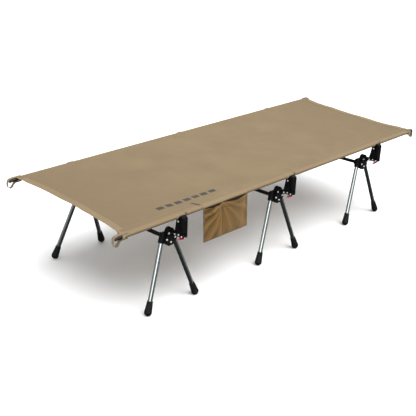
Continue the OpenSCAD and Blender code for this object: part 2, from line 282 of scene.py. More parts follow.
def bed_extras(s, colour):
    """The cloth is a little darker towards both ends, has a painted highlight along the rails' tops and
    painted shade, dark brown, round their lower side. The printed dashes are dark grey."""
    x, y, z = s.axes()
    out = s.math("ABSOLUTE", y)
    colour = s.mix(s.ramp(s.math("ABSOLUTE", x), 0.45, 0.90, 0, 1), colour, scaled(BED_COLOUR, 0.88))
    # Painted highlight: a lighter band along the rounded top of each rail's sleeve.
    colour = s.mix(s.ramp(out, RAIL_O - 14 * MM, RAIL_O - 1 * MM, 0, 0.75), colour, BAND_COLOUR)
    # Painted shade: the sleeve's underside, out beyond the rail, is painted dark brown.
    low = s.math("MULTIPLY", s.ramp(z, RAIL_Z + 5 * MM, RAIL_Z - 3 * MM),
                 s.math("GREATER_THAN", out, RAIL_O))
    colour = s.mix(s.math("MULTIPLY", low, 0.85), colour, SHADED_EDGE)
    phase = s.math("FRACT", s.math("DIVIDE", s.math("SUBTRACT", x, PRINT_X[0]), DASH_PITCH))
    dash = s.math("LESS_THAN", phase, DASH_SHARE)
    area = s.math("MULTIPLY", inside(s, x, *PRINT_X, 0.2 * MM), inside(s, y, *PRINT_Y, 0.3 * MM))
    on_top = s.math("GREATER_THAN", z, RAIL_Z)
    worn = s.ramp(s.noise(700.0, 2.0), 0.25, 0.5, 0.75, 0.95)
    share = s.math("MULTIPLY", s.math("MULTIPLY", dash, area), s.math("MULTIPLY", on_top, worn))
    return s.mix(share, colour, PRINT_COLOUR)


def back_extras(s, colour):
    """The pocket's back is painted nearly black below the rail, as painted shade inside the pocket. It
    turns into the bed's own colour where it rolls over the rail.
    """
    z = s.axes()[2]
    return s.mix(s.ramp(z, RAIL_Z - 4 * MM, RAIL_Z + 1 * MM), colour, BAND_COLOUR)


def pouch_extras(s, colour):
    """The pouches have painted shade in the valleys of their folds, most of all the small one's, a painted
    highlight on the ridges, and are lighter down a band near the foot end."""
    x, _, z = s.axes()
    from_seam = s.math("ADD", s.math("ABSOLUTE", s.math("SUBTRACT", x, POCKET_SPLIT)),
                       FOLD_BLUNT * POUCH_RISE)
    below = s.math("SUBTRACT", MOUTH_Z + FOLD_RISE * POUCH_RISE, z)
    turn = s.math("MULTIPLY_ADD", s.math("ARCTAN2", below, from_seam), FOLDS, FOLD_START)
    wave = s.math("SINE", turn)
    valley_shade = s.ramp(wave, 0.4, -0.7)
    reach = s.ramp(s.math("ADD", below, from_seam), 0.015, 0.06)
    patchy = s.ramp(s.noise(16.0, 2.0), 0.35, 0.6, 0.25, 1)
    depth = s.math("MULTIPLY_ADD", s.math("GREATER_THAN", x, POCKET_SPLIT), -0.55, 0.8)
    share = s.math("MULTIPLY", s.math("MULTIPLY", valley_shade, reach), s.math("MULTIPLY", patchy, depth))
    # Painted shade in the valleys of the folds.
    colour = s.mix(share, colour, scaled(POCKET_COLOUR, 0.25))
    # Painted highlight on the ridges of the folds.
    colour = s.mix(s.math("MULTIPLY", s.ramp(wave, 0.5, 1.0), 0.4), colour, scaled(POCKET_COLOUR, 1.5))
    band = inside(s, x, POCKET_HIGH.x - 40 * MM, POCKET_HIGH.x - 9 * MM, 10 * MM)
    return s.mix(s.math("MULTIPLY", band, 0.45), colour, scaled(POCKET_COLOUR, 1.45))


WEBBING_PITCH = 1.6 * MM


def webbing(name, base, axis="Y"):
    """Flat woven tape: ribs across its width and a herringbone of small threads."""
    s = Shade(name)
    x, y, z = s.axes()
    lane = {"X": x, "Y": y}[axis]
    along = s.math("SUBTRACT", x, z) if axis == "Y" else s.math("ADD", y, z)
    rib = s.math("ABSOLUTE", s.math("SINE", s.math("MULTIPLY", lane, math.pi / WEBBING_PITCH)))
    diagonal = s.math("ADD", along, s.math("MULTIPLY", lane, 0.8))
    slant = s.math("ABSOLUTE", s.math("SINE", s.math("MULTIPLY", diagonal, math.pi / WEBBING_PITCH)))
    height = s.math("ADD", s.math("MULTIPLY", rib, 0.6), s.math("MULTIPLY", slant, 0.4))
    blotch = s.ramp(s.noise(80.0, 3.0), 0.35, 0.65)
    colour = s.mix(blotch, scaled(base, 0.88), scaled(base, 1.1))
    # Painted shade: the low places between the ribs are darkened.
    colour = s.mix(s.ramp(height, 0.6, 0.1, 0, 0.4), colour, scaled(base, 0.5))
    normal = s.bump(height, 0.35 * MM, 0.7)
    return s.finish(Base_Color=colour, Roughness=s.ramp(blotch, 0, 1, 0.72, 0.86), Normal=normal,
                    Sheen_Weight=0.2, Specular_IOR_Level=0.3)


def thread_material(name, base):
    """Twisted sewing thread."""
    s = Shade(name)
    twist = s.noise(1600.0, 1.0, stretch=(1, 3, 1))
    colour = s.mix(s.ramp(twist, 0.3, 0.7), scaled(base, 0.8), scaled(base, 1.15))
    return s.finish(Base_Color=colour, Roughness=s.ramp(twist, 0.3, 0.7, 0.55, 0.75),
                    Normal=s.bump(twist, 0.1 * MM, 0.6), Specular_IOR_Level=0.35)


def moulded(name, base, rough=(0.42, 0.58)):
    """Moulded nylon: a fine sparked texture, faint flow marks, and edges rubbed a little lighter."""
    s = Shade(name)
    spark = s.noise(1500.0, 2.0)
    flow = s.noise(30.0, 3.0, stretch=(1, 1, 2.5))
    worn = s.math("MULTIPLY", s.edges(0.8 * MM), s.ramp(s.noise(160.0, 3.0), 0.4, 0.65, 0, 0.25))
    colour = s.mix(s.ramp(flow, 0.35, 0.65), scaled(base, 0.8), scaled(base, 1.35))
    colour = s.mix(worn, colour, tuple(c + 0.05 for c in base))
    return s.finish(Base_Color=colour, Roughness=s.ramp(flow, 0.3, 0.7, *rough),
                    Normal=s.bump(spark, 0.06 * MM, 0.5), Specular_IOR_Level=0.1)


def coated_metal(name, base, rough=(0.26, 0.38), wear=0.4):
    """Black coated metal with bright metal starting to show along its edges."""
    s = Shade(name)
    peel = s.noise(420.0, 2.0)
    cloud = s.noise(22.0, 3.0)
    worn = s.math("MULTIPLY", s.edges(0.6 * MM), s.ramp(s.noise(240.0, 4.0), 0.52, 0.62, 0, wear))
    colour = s.mix(s.ramp(cloud, 0.35, 0.65), scaled(base, 0.8), scaled(base, 1.3))
    colour = s.mix(worn, colour, (0.34, 0.34, 0.35))
    return s.finish(Base_Color=colour, Metallic=0.35, Roughness=s.ramp(cloud, 0.3, 0.7, *rough),
                    Normal=s.bump(peel, 0.05 * MM, 0.35), Specular_IOR_Level=0.5)


def tube_metal(name, base, rough=(0.20, 0.30), stretch=(30, 30, 1)):
    """Drawn and anodised aluminium tube: fine lines along it, slight clouding and a few scuffs."""
    s = Shade(name)
    lines = s.noise(90.0, 3.0, 0.6, stretch=stretch)
    cloud = s.noise(18.0, 3.0)
    scuff = s.ramp(s.noise(60.0, 5.0, 0.7), 0.66, 0.72, 0, 0.15)
    colour = s.mix(s.ramp(lines, 0.3, 0.7), scaled(base, 0.95), scaled(base, 1.03))
    colour = s.mix(scuff, colour, scaled(base, 0.6))
    roughness = s.math("ADD", s.ramp(cloud, 0.3, 0.7, *rough), s.math("MULTIPLY", scuff, 0.3))
    return s.finish(Base_Color=colour, Metallic=1.0, Roughness=roughness,
                    Normal=s.bump(lines, 0.004 * MM, 0.08))


def bright_steel(name, base):
    """Turned and plated rivets and screws, slightly dulled in patches."""
    s = Shade(name)
    turned = s.noise(260.0, 3.0)
    dull = s.ramp(turned, 0.4, 0.7)
    colour = s.mix(dull, scaled(base, 1.05), scaled(base, 0.78))
    return s.finish(Base_Color=colour, Metallic=0.3, Roughness=s.ramp(dull, 0, 1, 0.25, 0.42),
                    Normal=s.bump(turned, 0.03 * MM, 0.4))


def rubber(name, base):
    """Matt rubber with a little dust, most of it near the floor."""
    s = Shade(name)
    skin = s.noise(700.0, 3.0)
    dust = s.ramp(s.noise(45.0, 4.0), 0.45, 0.75, 0, 0.35)
    low = s.ramp(s.axes()[2], 26 * MM, 2 * MM, 0, 0.5)
    colour = s.mix(dust, base, tuple(c + 0.006 for c in base))
    colour = s.mix(s.math("MULTIPLY", low, dust), colour, (0.03, 0.028, 0.025))
    return s.finish(Base_Color=colour, Roughness=s.ramp(skin, 0.3, 0.7, 0.52, 0.72),
                    Normal=s.bump(skin, 0.12 * MM, 0.5), Specular_IOR_Level=0.25)


def red_plastic(name, base):
    """Red moulding with edges rubbed lighter."""
    s = Shade(name)
    flow = s.noise(90.0, 2.0)
    worn = s.math("MULTIPLY", s.edges(0.6 * MM), 0.35)
    colour = s.mix(s.ramp(flow, 0.3, 0.7), scaled(base, 0.85), scaled(base, 1.15))
    colour = s.mix(worn, colour, (0.75, 0.10, 0.12))
    return s.finish(Base_Color=colour, Roughness=s.ramp(flow, 0.3, 0.7, 0.28, 0.42),
                    Normal=s.bump(s.noise(900.0, 2.0), 0.04 * MM, 0.4), Coat_Weight=0.2)


def braid(name, base):
    """The braided cover of the shock cords: two sets of strands that cross."""
    s = Shade(name)
    x, y, z = s.axes()
    turn = s.math("MULTIPLY", s.math("ADD", y, z), 900.0)
    along = s.math("MULTIPLY", x, 1800.0)
    strand = s.math("SINE", s.math("ADD", along, turn))
    counter = s.math("SINE", s.math("SUBTRACT", along, turn))
    height = s.math("MAXIMUM", strand, counter)
    # Painted shade on the low strands and painted highlight on the high ones.
    colour = s.mix(s.ramp(height, 0, 1), scaled(base, 0.5), scaled(base, 1.6))
    return s.finish(Base_Color=colour, Roughness=0.7, Normal=s.bump(height, 0.2 * MM, 0.6))


BED = canvas("bed_canvas", BED_COLOUR, extra=bed_extras)
BAND = canvas("hem_canvas", BAND_COLOUR)
# The pocket's back is nearly black: painted shade inside the pocket, behind the pouches.
BACK_SHADED = canvas("pocket_back_canvas", scaled(POCKET_COLOUR, 0.14), upright=True, extra=back_extras)
POUCH = canvas("pouch_canvas", POCKET_COLOUR, upright=True, pitch=1.3 * MM, extra=pouch_extras)
BINDING = webbing("pocket_binding", (0.100, 0.060, 0.022), axis="X")
TUCK = webbing("tuck_tape", (0.016, 0.010, 0.006), axis="X")
NOTCH_TAPE = webbing("notch_tape", (0.20, 0.145, 0.085), axis="X")
# A dark strip on each notch's foot side: painted shade in the sleeve's open end.
NOTCH_OPENING_SHADE = webbing("notch_edge", (0.030, 0.021, 0.013), axis="X")
STRAP = webbing("loop_webbing", (0.17, 0.125, 0.075))
THREAD = thread_material("bed_thread", (0.27, 0.205, 0.12))
DARK_THREAD = thread_material("pocket_thread", (0.12, 0.072, 0.026))
HUB = moulded("hub_nylon", (0.0045, 0.0045, 0.005))
CLAMP = moulded("clamp_nylon", (0.004, 0.004, 0.0045), rough=(0.30, 0.42))
CAP = moulded("rail_cap_nylon", (0.030, 0.030, 0.028), rough=(0.5, 0.65))
PLATE = coated_metal("bracket_coating", (0.006, 0.006, 0.0065))
BAR = coated_metal("crossbar_coating", (0.005, 0.005, 0.0055), rough=(0.30, 0.42), wear=0.1)
LEG = tube_metal("leg_aluminium", (0.56, 0.62, 0.62), rough=(0.16, 0.24))
RAIL = tube_metal("rail_aluminium", (0.085, 0.070, 0.052), rough=(0.46, 0.6), stretch=(1, 30, 30))
STEEL = bright_steel("rivet_steel", (0.80, 0.80, 0.79))
FOOT = rubber("foot_rubber", (0.004, 0.004, 0.004))
TAB = red_plastic("tab_red", (0.56, 0.012, 0.045))
CORD = braid("shock_cord", (0.03, 0.03, 0.03))


# ---- CAD nodes get their finishes ----

def dress(node, material):
    slots = NODES[node].data.materials
    slots.clear()
    slots.append(material)


FINISHES = (
    ("_hub", HUB), ("_rail_hook", CLAMP), ("_tension_lever", CLAMP),
    ("_tube", LEG), ("_foot", FOOT), ("_rail", RAIL), ("rail_ferrules", RAIL), ("rail_end_caps", CAP),
    ("rail_shock_cords", CORD), ("crossbars", BAR), ("clamp_brackets", PLATE), ("clamp_pins", STEEL),
    ("hub_screws", STEEL),
)
for node_name in NODES:
    for ending, finish in FINISHES:
        if node_name.endswith(ending):
            dress(node_name, finish)
            break


def soften_edges(node, width):
    """Rounds a hard part's edges. The imported faces are split at sharp edges, so they are welded first."""
    o = NODES[node]
    weld = o.modifiers.new("weld", "WELD")
    weld.merge_threshold = 0.01 * MM
    bevel = o.modifiers.new("bevel", "BEVEL")
    bevel.width, bevel.segments = width, 2
    bevel.limit_method, bevel.angle_limit = "ANGLE", math.radians(38)
    bevel.use_clamp_overlap = True
    bevel.harden_normals = False
    smooth = o.modifiers.new("normals", "WEIGHTED_NORMAL")
    smooth.keep_sharp = False


# ---- mesh building ----

def add_mesh(name, points, faces, material, smooth=True):
    mesh = bpy.data.meshes.new(name)
    mesh.from_pydata([tuple(p) for p in points], [], faces)
    mesh.update()
    mesh.polygons.foreach_set("use_smooth", [smooth] * len(mesh.polygons))
    made = bpy.data.objects.new(name, mesh)
    bpy.context.scene.collection.objects.link(made)
    mesh.materials.append(material)
    return made


def grid_faces(rows, columns, keep=None):
    """Quads of a grid of points laid out row by row. keep(row, column) says which quads stay."""
    return [(r * columns + c, r * columns + c + 1, (r + 1) * columns + c + 1, (r + 1) * columns + c)
            for r in range(rows - 1) for c in range(columns - 1) if keep is None or keep(r, c)]


def thicken(o, thickness):
    solid = o.modifiers.new("thickness", "SOLIDIFY")
    solid.thickness, solid.offset = thickness, 0.0
    return o


def smoothstep(value, low, high):
    t = np.clip((np.asarray(value, float) - low) / (high - low), 0, 1)
    return t * t * (3 - 2 * t)


def resampled(path, step):
    """The same path with evenly spaced points, about one step apart."""
    path = np.array(path, float)
    along = np.concatenate([[0], np.cumsum(np.linalg.norm(np.diff(path, axis=0), axis=1))])
    at = np.linspace(0, along[-1], max(2, round(along[-1] / step) + 1))
    return np.stack([np.interp(at, along, path[:, k]) for k in range(3)], axis=1)


def rounded(path, passes=3):
    """A smoother path with the same ends, by cutting its corners."""
    path = np.array(path, float)
    for _ in range(passes):
        a, b = path[:-1], path[1:]
        cut = np.stack([a * 0.75 + b * 0.25, a * 0.25 + b * 0.75], axis=1).reshape(-1, 3)
        path = np.vstack([path[:1], cut, path[-1:]])
    return path


def directions(path):
    """Unit vectors along a path, one at each point."""
    d = np.gradient(path, axis=0)
    return d / np.maximum(np.linalg.norm(d, axis=1, keepdims=True), 1e-12)


THREAD_R = 0.36 * MM
THREAD_SIDES = 6
# One stitch's rings: place along its length, size and lift, as shares of length and radius.
STITCH_RINGS = ((-0.5, 0.25, -0.2), (-0.3, 1, 0.5), (0.3, 1, 0.5), (0.5, 0.25, -0.2))


def stitches(name, lines, material, spacing=4.2 * MM, length=2.9 * MM):
    """Rows of separate thread stitches. Each line is (path, face direction)."""
    points, faces = [], []
    for path, up in lines:
        spots = resampled(path, spacing)
        ahead = directions(spots)
        up = np.array(up, float) / np.linalg.norm(up)
        for centre, way in zip(spots, ahead):
            side = np.cross(way, up)
            base = len(points)
            for along, size, lift in STITCH_RINGS:
                for turn in range(THREAD_SIDES):
                    angle = turn * 2 * math.pi / THREAD_SIDES
                    points.append(centre + way * along * length
                                  + side * math.cos(angle) * THREAD_R * size
                                  + up * (math.sin(angle) * size + lift) * THREAD_R)
            rings = [[base + ring * THREAD_SIDES + turn for turn in range(THREAD_SIDES)]
                     for ring in range(len(STITCH_RINGS))]
            for near, far in zip(rings, rings[1:]):
                for turn in range(THREAD_SIDES):
                    after = (turn + 1) % THREAD_SIDES
                    faces.append((near[turn], near[after], far[after], far[turn]))
            faces.append(tuple(rings[0][::-1]))
            faces.append(tuple(rings[-1]))
    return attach(add_mesh(name, points, faces, material), "frame")


def simulate(points, faces, pinned, frames, shrink=0.0, stiffness=30.0, bending=2.0):
    """Runs a cloth simulation on a mesh and returns where its points end up."""
    o = add_mesh("cloth_trial", points, faces, BED)
    group = o.vertex_groups.new(name="pinned")
    group.add([int(i) for i in pinned], 1.0, "REPLACE")
    cloth = o.modifiers.new("cloth", "CLOTH")
    settings = cloth.settings
    settings.vertex_group_mass = "pinned"
    settings.quality = 6
    settings.mass = 0.0004
    settings.tension_stiffness = settings.compression_stiffness = stiffness
    settings.shear_stiffness = stiffness / 2
    settings.bending_stiffness = bending
    settings.air_damping = 4.0
    settings.shrink_min = settings.shrink_max = shrink
    cloth.collision_settings.use_collision = False
    cloth.collision_settings.use_self_collision = False
    cloth.point_cache.frame_start, cloth.point_cache.frame_end = 1, frames
    scene = bpy.context.scene
    for f in range(1, frames + 1):
        scene.frame_set(f)
    evaluated = o.evaluated_get(bpy.context.evaluated_depsgraph_get())
    moved = np.array([v.co for v in evaluated.data.vertices], float)
    scene.frame_set(1)
    mesh = o.data
    bpy.data.objects.remove(o)
    bpy.data.meshes.remove(mesh)
    return moved


def merged(parts):
    """Several (points, faces) lists as one."""
    points, faces = [], []
    for part_points, part_faces in parts:
        base = len(points)
        points.extend(tuple(p) for p in part_points)
        faces.extend(tuple(base + i for i in f) for f in part_faces)
    return points, faces


def ribbon(path, up, width, thickness):
    """A flat tape with rounded edges along a path, as (points, faces)."""
    path, up = np.array(path, float), np.array(up, float)
    if up.ndim == 1:
        up = np.tile(up, (len(path), 1))
    ahead = directions(path)
    side = np.cross(ahead, up)
    side /= np.maximum(np.linalg.norm(side, axis=1, keepdims=True), 1e-12)
    face = np.cross(side, ahead)
    turns = np.linspace(0, 2 * math.pi, 12, endpoint=False)
    # Powers under 1 square up what would be an ellipse.
    outline = [(math.copysign(abs(math.cos(t)) ** 0.4, math.cos(t)),
                math.copysign(abs(math.sin(t)) ** 0.7, math.sin(t))) for t in turns]
    rings = [path + side * (u * width / 2) + face * (v * thickness / 2) for u, v in outline]
    points = np.stack(rings, axis=1).reshape(-1, 3)
    n, k = len(path), len(turns)
    faces = [(i * k + j, (i + 1) * k + j, (i + 1) * k + (j + 1) % k, i * k + (j + 1) % k)
             for i in range(n - 1) for j in range(k)]
    faces += [tuple(range(k)), tuple((n - 1) * k + j for j in range(k))[::-1]]
    return points, faces


def piece(name, parts, material, body="frame"):
    """One object from several (points, faces) parts, riding on a body."""
    points, faces = merged(parts)
    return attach(add_mesh(name, points, faces, material), body)


# ---- the bed's cloth ----

SLEEVE_ANGLES = np.radians(np.arange(90, -112, -11.0))
RETURN_STEPS = 6
RETURN_GAP = 1.3 * MM
SETTLE_GRID = (124, 46)
HELD_BAND = 16 * MM
DEEPEST_SAG = 4.0 * MM
SETTLE_FRAMES = 22
END_BLEND = 220 * MM
FOOT_BLEND = 130 * MM
TAPE_LIFT = 0.75 * MM
NOTCH_TAPE_WIDTH = 6.5 * MM
END_BAND_WIDTH = 12.5 * MM


def cloth_end(y):
    """How far out the cloth reaches at that place across the bed. Its ends are cut to a shallow curve."""
    across = min(abs(y), RAIL_O) / RAIL_O
    step = 3.5 * MM * (1 - float(smoothstep(abs(y), SEAM_O - 2 * MM, SEAM_O + 4 * MM)))
    return CLOTH_END - END_CURVE * (1 - across ** 2) - step


def bed_settling():
    """Heights of the cloth between the rails on a grid, from letting the stretched sheet settle. The sag
    is scaled down where it is more than a taut bed would show."""
    xs = np.linspace(-CLOTH_END, CLOTH_END, SETTLE_GRID[0])
    ys = np.linspace(-RAIL_O, RAIL_O, SETTLE_GRID[1])
    grid_x, grid_y = np.meshgrid(xs, ys, indexing="ij")
    held = np.abs(grid_y) >= RAIL_O - HELD_BAND
    ripple = 0.5 * MM * np.sin(grid_x * 41 + 2.0 * np.sin(grid_y * 9)) * np.cos(grid_y * 17)
    start = np.stack([grid_x, grid_y, TOP_Z + np.where(held, 0, ripple)], axis=-1).reshape(-1, 3)
    faces = grid_faces(len(xs), len(ys))
    settled = simulate(start, faces, np.flatnonzero(held.ravel()), frames=SETTLE_FRAMES, shrink=-0.002)
    drop = settled[:, 2].reshape(held.shape) - TOP_Z
    deepest = max(1e-6, float(-drop.min()))
    return xs, ys, drop * min(1.0, DEEPEST_SAG / deepest)


SAG_X, SAG_Y, SAG = bed_settling()


def sag(x, y):
    """Height of the settled cloth above or below the rails' top, read from the grid."""
    x, y = np.broadcast_arrays(np.asarray(x, float), np.asarray(y, float))
    u = np.clip((x - SAG_X[0]) / (SAG_X[1] - SAG_X[0]), 0, len(SAG_X) - 1.001)
    v = np.clip((y - SAG_Y[0]) / (SAG_Y[1] - SAG_Y[0]), 0, len(SAG_Y) - 1.001)
    i, j = u.astype(int), v.astype(int)
    fu, fv = u - i, v - j
    return ((SAG[i, j] * (1 - fu) + SAG[i + 1, j] * fu) * (1 - fv)
            + (SAG[i, j + 1] * (1 - fu) + SAG[i + 1, j + 1] * fu) * fv)


def top_height(x, y):
    """Height of the middle of the cloth on top of the bed: the settled sheet, drawn down and puckered along
    the seams, with faint creases that fan out from the clamps."""
    x, y = np.asarray(x, float), np.asarray(y, float)
    o = np.abs(y)
    pull = np.exp(-((o - SEAM_O) / (2.2 * MM)) ** 2)
    pucker = 0.22 * np.sin(x * 251 + 1.7 * np.sin(x * 31)) + 0.14 * np.sin(x * 467 + 1.1)
    ripple = np.exp(-((o - SEAM_O) / (9 * MM)) ** 2) * pucker * MM
    tension = np.zeros_like(x + y)
    for place in SET_X:
        away = np.hypot(x - place, (RAIL_O - o) * 1.4)
        spokes = np.cos(7 * np.arctan2(x - place, RAIL_O - o + 12 * MM))
        tension = tension + 0.45 * MM * spokes * np.exp(-((away - 45 * MM) / (28 * MM)) ** 2)
    tension = tension * smoothstep(RAIL_O - o, 2 * MM, 22 * MM)
    return TOP_Z + sag(x, y) - 0.55 * MM * pull + ripple + tension


def bed_columns():
    """The places across the bed where the cloth has a line of points, from the front seam to the rear one.
    Each is (side, how far out, height or None on the top sheet)."""
    half = list(np.linspace(0, SEAM_O - 10 * MM, 38)) + [SEAM_O + d * MM for d in (-6, -3, -1, 0, 1, 3, 6)]
    half += list(np.linspace(SEAM_O + 10 * MM, NOTCH_O, 4)) + [RAIL_O - 2 * MM]
    out = [(o, None) for o in half]
    out += [(RAIL_O + SLEEVE_R * math.cos(a), RAIL_Z + SLEEVE_R * math.sin(a)) for a in SLEEVE_ANGLES]
    last_o, last_z = out[-1]
    for k in range(1, RETURN_STEPS + 1):
        t = k / RETURN_STEPS
        ease = t + 0.12 * math.sin(math.pi * t)
        out.append((last_o + (SEAM_O - last_o) * t, last_z + (TOP_Z - RETURN_GAP - last_z) * ease))
    front = [(-1, o, z) for o, z in reversed(out)]
    rear = [(1, o, z) for o, z in out[1:]]
    return front + rear


def bed_rows():
    """The places along the bed where the cloth has a line of points, both sides of each notch among them."""
    marks = [-CLOTH_END] + [m for x in SET_X for m in (x - NOTCH_HALF, x + NOTCH_HALF)] + [CLOTH_END]
    rows = []
    for a, b in zip(marks, marks[1:]):
        n = max(2, round((b - a) / (6.5 * MM)))
        rows += list(np.linspace(a, b, n, endpoint=False))
    return rows + [CLOTH_END]


def build_bed():
    columns, rows = bed_columns(), bed_rows()
    points = []
    for row in rows:
        for side, o, z in columns:
            y = side * o
            near = float(smoothstep(abs(row), CLOTH_END - END_BLEND, CLOTH_END))
            x = row + math.copysign(1, row) * (cloth_end(y) - CLOTH_END) * near
            points.append((x, y, float(top_height(x, y)) if z is None else z))

    def stays(r, c):
        """At a clamp the sleeve is cut away below the rail and behind it."""
        x = (rows[r] + rows[r + 1]) / 2
        in_notch = any(abs(x - place) < NOTCH_HALF for place in SET_X)
        (_, o1, z1), (_, o2, z2) = columns[c], columns[c + 1]
        below = None not in (z1, z2) and ((o1 + o2) / 2 < RAIL_O or (z1 + z2) / 2 < RAIL_Z - 2 * MM)
        return not (in_notch and below)

    faces = grid_faces(len(rows), len(columns), stays)
    o = add_mesh("bed_cloth", points, faces, BED)
    thicken(o, CLOTH_T)
    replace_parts(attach(o, "frame"), "bed_fabric")
    return o


def build_hem(end):
    """The turned-over hem at one end: one band of cloth over the edge and back underneath."""
    ys = np.linspace(-SEAM_O - 1.5 * MM, SEAM_O + 1.5 * MM, 90)
    section = [(-27, 0.95), (-26, 1.0), (-20, 0.95), (-12, 0.9), (-4, 0.95), (-1, 0.9), (0.5, 0.62),
               (0.95, 0), (0.5, -0.62), (-1, -0.9), (-8, -0.95), (-24, -0.95)]
    points = []
    for y in ys:
        edge = cloth_end(y) + 0.4 * MM
        for back, lift in section:
            x = end * (edge + back * MM)
            ripple = 0.12 * MM * math.sin(y * 310 + back) * (1 if lift > 0 else -1)
            points.append((x, y, float(top_height(x, y)) + lift * MM + ripple))
    o = add_mesh(f"hem_{'foot' if end > 0 else 'head'}", points, grid_faces(len(ys), len(section)), BAND)
    thicken(o, 0.7 * MM)
    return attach(o, "frame")


def round_sleeve(side, x, radius, start, stop):
    """A path down round a rail's sleeve at one place along it, and its outward directions. Its angles are
    in degrees: 90 is the top, 0 the outside."""
    angles = np.radians(np.arange(start, stop, -8))
    centre = np.array((x, side * RAIL_O, RAIL_Z))
    out = np.array([(0, side * math.cos(a), math.sin(a)) for a in angles])
    return centre + out * radius, out


def notch_tapes(set_name, place):
    """At one clamp on each side: the binding of the sleeve's cut end on the head side, and on the foot side
    a dark strip, painted shade in the sleeve's open end.
    """
    light, dark = [], []
    for side in (-1, 1):
        for way in (-1, 1):
            start = 60 if way > 0 else 88
            x = place + way * (NOTCH_HALF + 2.6 * MM)
            arc, out = round_sleeve(side, x, SLEEVE_R + TAPE_LIFT, start, -95)
            # Strips on the foot side are painted shade. Those on the head side are the binding.
            (dark if way > 0 else light).append(ribbon(arc, out, NOTCH_TAPE_WIDTH, 0.9 * MM))
    return [piece(f"{set_name}_notch_tapes", light, NOTCH_TAPE),
            piece(f"{set_name}_notch_edges", dark, NOTCH_OPENING_SHADE)]


def sleeve_end_bands():
    """The hem round each open end of both rail sleeves."""
    parts = []
    for end in (-1, 1):
        for side in (-1, 1):
            x = end * (CLOTH_END - 6 * MM)
            arc, out = round_sleeve(side, x, SLEEVE_R + TAPE_LIFT, 88, -112)
            lead = np.array([(x, side * o, float(top_height(x, side * o)) + TAPE_LIFT)
                             for o in np.linspace(SEAM_O, RAIL_O - 2.5 * MM, 6)])
            up = np.vstack([np.tile(UP, (len(lead), 1)), out])
            parts.append(ribbon(np.vstack([lead, arc]), up, END_BAND_WIDTH, 0.8 * MM))
    return piece("sleeve_end_bands", parts, BAND)


def on_bed(xs, ys, lift):
    """Points on top of the bed, raised a little."""
    return np.stack([np.asarray(xs), np.asarray(ys), top_height(xs, ys) + lift], axis=1)


def bed_stitching():
    """Two rows of stitches along each sleeve's seam and two along each hem."""
    lines = []
    for side in (-1, 1):
        for o in (SEAM_O - 1.6 * MM, SEAM_O + 2.2 * MM):
            xs = np.linspace(-CLOTH_END + 8 * MM, CLOTH_END - 8 * MM, 600)
            lines.append((on_bed(xs, np.full_like(xs, side * o), 0.42 * MM), UP))
    for end in (-1, 1):
        for back in (24.5 * MM, 3.5 * MM):
            ys = np.linspace(-SEAM_O + 2 * MM, SEAM_O - 2 * MM, 200)
            xs = np.array([end * (cloth_end(y) - back) for y in ys])
            lines.append((on_bed(xs, ys, 1.4 * MM), UP))
    return stitches("bed_stitching", lines, THREAD)


def sleeve_tuck():
    """The short dark tuck sewn across the front sleeve beside the pocket."""
    ys = np.linspace(-RAIL_O + 37 * MM, -RAIL_O + 3 * MM, 14)
    xs = np.linspace(POCKET_LOW.x - 19 * MM, POCKET_LOW.x - 4 * MM, 14)
    tuck = ribbon(on_bed(xs, ys, 0.7 * MM), UP, 8 * MM, 1.3 * MM)
    return piece("sleeve_tuck", [tuck], TUCK)


bed = build_bed()
hems = [build_hem(-1), build_hem(1)]
bed_trim = hems + [tape for s, x in zip(SETS, SET_X) for tape in notch_tapes(s, x)]
bed_trim += [sleeve_end_bands(), bed_stitching(), sleeve_tuck()]


def reach_foot(objects):
    """The cloth reaches further along the rails at the foot end than at the head end."""
    for o in objects:
        for v in o.data.vertices:
            v.co.x += FOOT_REACH * float(smoothstep(v.co.x, CLOTH_END - FOOT_BLEND, CLOTH_END))
        o.data.update()


reach_foot([bed] + bed_trim)


# ---- the side pocket ----

POCKET_LEFT, POCKET_RIGHT = POCKET_LOW.x, POCKET_HIGH.x
POCKET_FLOOR = POCKET_LOW.z
PANEL_R = SLEEVE_R + 1.1 * MM
PANEL_Y = -(RAIL_O + PANEL_R)
# Where across a pouch its mouth hangs lowest.
MOUTH_LOWEST = 0.55
BINDING_WIDTH = 5.6 * MM
FINE_STITCH = {"spacing": 3.6 * MM, "length": 2.4 * MM}
SKEW = 11 * MM


def build_panel():
    """The pocket's back: it leaves the top of the front sleeve, rolls over its edge and hangs down."""
    arc, _ = round_sleeve(-1, 0, PANEL_R, 96, 0)
    down = [(0, PANEL_Y, z) for z in np.linspace(RAIL_Z, POCKET_FLOOR, 34)]
    profile = np.vstack([arc, down])
    xs = np.linspace(POCKET_LEFT, POCKET_RIGHT, 60)
    points = []
    for x in xs:
        for _, y, z in profile:
            hang = float(smoothstep(RAIL_Z - z, 0, 0.12))
            wave = 0.8 * MM * math.sin(x * 47) * hang
            points.append((x, y + wave, z))
    o = add_mesh("pocket_panel", points, grid_faces(len(xs), len(profile)), BACK_SHADED)
    thicken(o, 0.8 * MM)
    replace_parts(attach(o, "frame"), "side_pocket")
    return o


